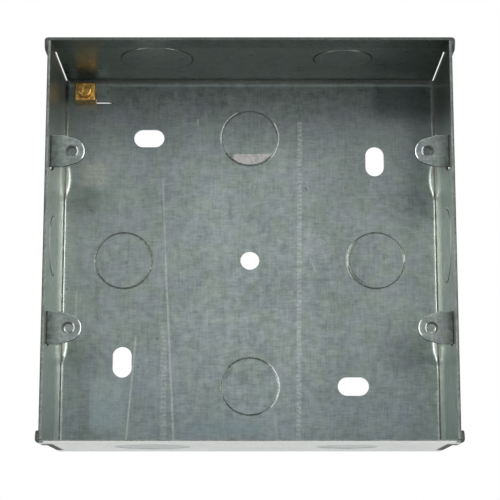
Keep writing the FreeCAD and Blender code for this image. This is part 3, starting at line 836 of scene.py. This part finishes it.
def addGloss(tree, at, shader):
    # plate, walls, folds and darts each have a roughness of their own, and dirt and painted shade are rougher
    # and no metal
    plateRoughness = fade(tree, at["mottle"], *mottleRange, *zinc["plateRoughness"])
    roughness = fade(tree, at["facingX"], *sidewaysRange, plateRoughness, zinc["wallRoughness"])
    roughness = fade(tree, at["inFold"], 0.0, 1.0, roughness, zinc["foldRoughness"])
    roughness = fade(tree, at["inDart"], 0.0, 1.0, roughness, zinc["dartRoughness"])
    # the outermost faces but for the underside are duller, so that no lamp shows white in them
    dull = multiply(tree, at["outside"], fade(tree, at["z"], *zones["aboveUnderside"]))
    roughness = fade(tree, dull, 0.0, 1.0, roughness, zinc["outsideRoughness"])
    metallic = fade(tree, dull, 0.0, 1.0, zinc["metallic"], zinc["outsideMetallic"])
    roughness = calc(tree, "MULTIPLY_ADD", at["dirt"], zinc["dirtRoughness"], roughness)
    tree.links.new(roughness, shader.inputs["Roughness"])
    tree.links.new(fade(tree, at["dirt"], 0.0, 1.0, metallic, 0.0), shader.inputs["Metallic"])


def galvanisedSheet():
    material, tree, shader = newMaterial("galvanisedSheet")
    coordinates = makeNode(tree, "ShaderNodeTexCoord").outputs
    at = {"inMm": inMillimetres(tree, coordinates["Object"])}    # places and masks by name
    at["x"], at["y"], at["z"] = makeNode(tree, "ShaderNodeSeparateXYZ", {0: at["inMm"]}).outputs
    facing = vectorCalc(tree, "ABSOLUTE", coordinates["Normal"])
    facing = makeNode(tree, "ShaderNodeSeparateXYZ", {0: facing})
    at["facingX"], at["facingY"], at["facingZ"] = facing.outputs

    colour = sheetPattern(tree, at)
    for addShades in (platePatchMarks, chordSegment, plateLineMarks, wallShades, lugMarks, seamsAndRings,
                      foldMarks, outsideShades):
        colour = addShades(tree, at, colour)
    tree.links.new(colour, shader.inputs["Base Color"])
    addGloss(tree, at, shader)

    waves = noise(tree, at["inMm"], *wavyRelief["noise"])
    relief = calc(tree, "MULTIPLY_ADD", at["grain"], wavyRelief["grain"], at["uprightLines"])
    relief = calc(tree, "MULTIPLY_ADD", waves, wavyRelief["waves"], relief)
    bump = makeNode(tree, "ShaderNodeBump", {"Height": relief, **zinc["bump"]})
    tree.links.new(bump.outputs[0], shader.inputs["Normal"])
    return material


def mottledTone(tree, place, settings):
    # two noises in their shares, stretched to the whole range
    (first, firstShare), (second, secondShare) = settings["noises"]
    firstNoise = noise(tree, place, *first)
    secondNoise = calc(tree, "MULTIPLY", noise(tree, place, *second), secondShare)
    tone = calc(tree, "MULTIPLY_ADD", firstNoise, firstShare, secondNoise)
    return fade(tree, tone, *settings["range"])


# sheared edges of the sheet: dull and darker than its faces

shearedSettings = {
    "dark": (0.075, 0.085, 0.078, 1),
    "light": (0.17, 0.19, 0.175, 1),
    "dirty": (0.028, 0.031, 0.028, 1),
    "bright": (0.50, 0.51, 0.49, 1),
    "roughness": 0.5,
    "noises": (((1.6, 4.0, 0.6), 0.6), ((0.12, 2.0, 0.5), 0.4)),
    "range": (0.35, 0.65),
    "bump": {"Strength": 0.4, "Distance": 0.02 * mm},
    "tabsAcross": (68.0, 68.35, 0.0, 0.8),      # by the distance to the left or right of the middle
    "floorAcross": (66.5, 67.2, 1.0, 0.0),
    "lugRoots": (66.9, 67.4, 0.6, 0.0),
    "lugTips": (52.0, 54.0),
    "topHeight": (67.1, 67.7, 0.0, 0.75),       # by height above the middle
    "floorHeight": (-68.25, -67.7, 0.9, 0.0),
    "lugDepth": (-20.0, -19.0),                 # by y
}


def cutEdge():
    settings = shearedSettings
    material, tree, shader = newMaterial("shearedEdge")
    place = makeNode(tree, "ShaderNodeTexCoord").outputs["Object"]
    inMm = inMillimetres(tree, place)
    tone = mottledTone(tree, inMm, settings)
    colour = mixColour(tree, tone, settings["dark"], settings["light"])
    axes = makeNode(tree, "ShaderNodeSeparateXYZ", {0: inMm})
    fromMiddle = calc(tree, "ABSOLUTE", axes.outputs[0])
    height = calc(tree, "SUBTRACT", axes.outputs[2], boxMiddle / mm)
    # darker on the outer tabs and the top rim, painted shade on the lugs' cut sides, lighter along the bottom
    outer = fade(tree, fromMiddle, *settings["tabsAcross"])
    above = fade(tree, height, *settings["topHeight"])
    below = multiply(tree, fade(tree, height, *settings["floorHeight"]),
                     fade(tree, fromMiddle, *settings["floorAcross"]))
    onLug = multiply(tree, fade(tree, fromMiddle, *settings["lugRoots"]),
                     fade(tree, fromMiddle, *settings["lugTips"]))
    onLug = multiply(tree, onLug, fade(tree, axes.outputs[1], *settings["lugDepth"]))
    colour = mixColour(tree, overlay(tree, [outer, above, onLug]), colour, settings["dirty"])
    colour = mixColour(tree, below, colour, settings["bright"])
    tree.links.new(colour, shader.inputs["Base Color"])
    shader.inputs["Metallic"].default_value = zinc["metallic"]
    shader.inputs["Roughness"].default_value = settings["roughness"]
    bump = makeNode(tree, "ShaderNodeBump", {"Height": tone, **settings["bump"]})
    tree.links.new(bump.outputs[0], shader.inputs["Normal"])
    return material


# painted shade: edges under the side walls, in the lugs' bends and round the lugs' windows, near black

paintedShadeSettings = {
    "dark": (0.010, 0.010, 0.009, 1),
    "light": (0.030, 0.029, 0.026, 1),
    "roughness": 0.8,
    "gloss": 0.2,
    "noise": (900.0, 3.0, 0.6),
    "range": (0.35, 0.65),
}


def paintedShadeEdge():
    settings = paintedShadeSettings
    material, tree, shader = newMaterial("paintedShadeEdge")
    place = makeNode(tree, "ShaderNodeTexCoord").outputs["Object"]
    tone = fade(tree, noise(tree, place, *settings["noise"]), *settings["range"])
    colour = mixColour(tree, tone, settings["dark"], settings["light"])
    tree.links.new(colour, shader.inputs["Base Color"])
    shader.inputs["Roughness"].default_value = settings["roughness"]
    shader.inputs["Specular IOR Level"].default_value = settings["gloss"]
    return material


galvanised = galvanisedSheet()
sheared = cutEdge()
paintedShadeMaterial = paintedShadeEdge()
report("sheet materials made")


# folded box: the sheet with its cut edges broken, and the darts' sides eased into the plate

def besideLug(point):
    return abs(abs(point.z - boxMiddle) - boxSettings["lugRise"])


# where the folded box's edges and faces are: what is across counts from the middle outwards, and the halves
# count from the level of a lug's hole up and down
places = {
    "dartAcross": (64.5 * mm, 67.6 * mm),
    "dartDepth": (19.5 * mm, 22.6 * mm),
    "dartHalf": 6.9 * mm,
    "nearDartHalf": 9.0 * mm,
    "lugFrontWithin": 0.05 * mm,
    "lugBend": 66.3 * mm,
    "lugHalf": 6.0 * mm,
    "lugHoleRadius": 2.4 * mm,
    "facing": 0.7,              # a face's direction counts from here on
    "across": 0.5,              # and lies across it up to here
    "rimDepth": 0.08 * mm,      # behind the rim
    "lugDepth": 8 * mm,
    "bendDepth": 4.6 * mm,
    "windowDepth": (6.5 * mm, 17.2 * mm),
    "wallEndBack": 2 * mm,      # in front of the back plate's outside
    "wallEndHeight": 60 * mm,
    "underWall": (0.3 * mm, 2.5 * mm),
    "tabOut": 0.08 * mm,        # outside the box's half
    "underWallIn": 1.3 * mm,    # inside it
    "windowIn": 1.05 * mm,
    "wallIn": 1.0 * mm,
    "bendAcross": 66.9 * mm,
    "lugTip": 53 * mm,
}


def onDart(point):
    (innerX, outerX), (frontY, plateY) = places["dartAcross"], places["dartDepth"]
    inCorner = innerX < abs(point.x) < outerX and frontY < point.y < plateY
    return inCorner and besideLug(point) < places["dartHalf"]


def nearDart(point):
    inCorner = abs(point.x) > places["dartAcross"][0] and point.y > places["dartDepth"][0]
    return inCorner and besideLug(point) < places["nearDartHalf"]


def onLugOutline(point):
    across = abs(point.x)
    inFront = abs(point.y - rimY - boxSettings["lugFront"]) < places["lugFrontWithin"]
    offHole = math.hypot(across - boxSettings["lugHole"], besideLug(point)) > places["lugHoleRadius"]
    return inFront and across < places["lugBend"] and besideLug(point) < places["lugHalf"] and offHole


def isInPaintedShade(face):
    # painted shade: under the side walls, in the lugs' bends and round the lugs' windows
    middle, normal = face.center, face.normal
    across = abs(middle.x)
    lowest, highest = places["underWall"]
    underWall = across > halfBox - places["underWallIn"] and lowest < middle.z < highest
    atBend = places["bendAcross"] < across < halfBox - places["wallIn"]
    atBend = atBend and rimY + places["bendDepth"] < middle.y < rimY + places["lugDepth"]
    nearest, furthest = places["windowDepth"]
    inWindow = across > halfBox - places["windowIn"] and rimY + nearest < middle.y < rimY + furthest
    if underWall and normal.z < -places["facing"]:
        return True
    if besideLug(middle) >= places["lugHalf"]:
        return False
    return (atBend and abs(normal.z) < places["facing"]) or (inWindow and abs(normal.x) < places["across"])


def isSheared(face):
    # the rim, the corner tabs, the ends of the side walls and the sides of the lugs
    middle, normal = face.center, face.normal
    across = abs(middle.x)
    rim = normal.y < -places["facing"] and middle.y < rimY + places["rimDepth"]
    tab = across > halfBox + places["tabOut"] and abs(normal.x) < places["facing"]
    wallEnd = abs(normal.z) > places["facing"] and across > halfBox - places["wallIn"]
    wallEnd = wallEnd and middle.y < backY - places["wallEndBack"]
    wallEnd = wallEnd and abs(middle.z - boxMiddle) > places["wallEndHeight"]
    atLug = middle.y < rimY + places["lugDepth"] and besideLug(middle) < places["lugHalf"]
    atLug = atLug and places["lugTip"] < across < halfBox - places["wallIn"]
    return rim or tab or wallEnd or (atLug and abs(normal.y) < places["across"])


def finishSlot(face):
    # 0 sheet, 1 sheared edge, 2 edge in painted shade
    if isInPaintedShade(face):
        return 2
    return 1 if isSheared(face) else 0


foldedBox = copyOfNode("body", "folded_box")
bevelEdges(foldedBox, boxSettings["dartSides"], onDart)
bevelEdges(foldedBox, boxSettings["lugOutline"], onLugOutline)
bevelEdges(foldedBox, boxSettings["cutEdges"], lambda point: not nearDart(point))
smoothFaces(foldedBox, boxSettings["smooth"])
for material in (galvanised, sheared, paintedShadeMaterial):
    foldedBox.data.materials.append(material)
for face in foldedBox.data.polygons:
    face.material_index = finishSlot(face)
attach(foldedBox, "root")
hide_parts("body")
report("folded box: %d faces" % len(foldedBox.data.polygons))


# earth terminal: brass block and cheese head screw

brassSettings = {
    "dark": (0.36, 0.195, 0.052, 1),
    "light": (0.80, 0.50, 0.155, 1),
    "roughness": 0.33,
    "noises": (((0.55, 3.0, 0.6), 0.7), ((2.5, 3.0, 0.6), 0.3)),
    "range": (0.38, 0.62),
    "edges": {"width": 0.08 * mm, "segments": 2, "sharp": 35, "shortest": 0.05 * mm},
}


def terminalBrass():
    material, tree, shader = newMaterial("terminalBrass")
    place = makeNode(tree, "ShaderNodeTexCoord").outputs["Object"]
    tone = mottledTone(tree, inMillimetres(tree, place), brassSettings)
    colour = mixColour(tree, tone, brassSettings["dark"], brassSettings["light"])
    tree.links.new(colour, shader.inputs["Base Color"])
    shader.inputs["Metallic"].default_value = 1.0
    shader.inputs["Roughness"].default_value = brassSettings["roughness"]
    return material


brass = terminalBrass()
for nodeName, pieceName, slotName in (("earth_terminal_block", "terminal_block", "terminal_brass"),
                                      ("earth_terminal_screw", "terminal_screw", "screw_brass")):
    piece = copyOfNode(nodeName, pieceName)
    bevelEdges(piece, brassSettings["edges"], lambda point: True)
    smoothFaces(piece, boxSettings["smooth"])
    piece.data.materials.append(brass)
    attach(piece, "root")
    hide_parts(nodeName)
report("earth terminal done")
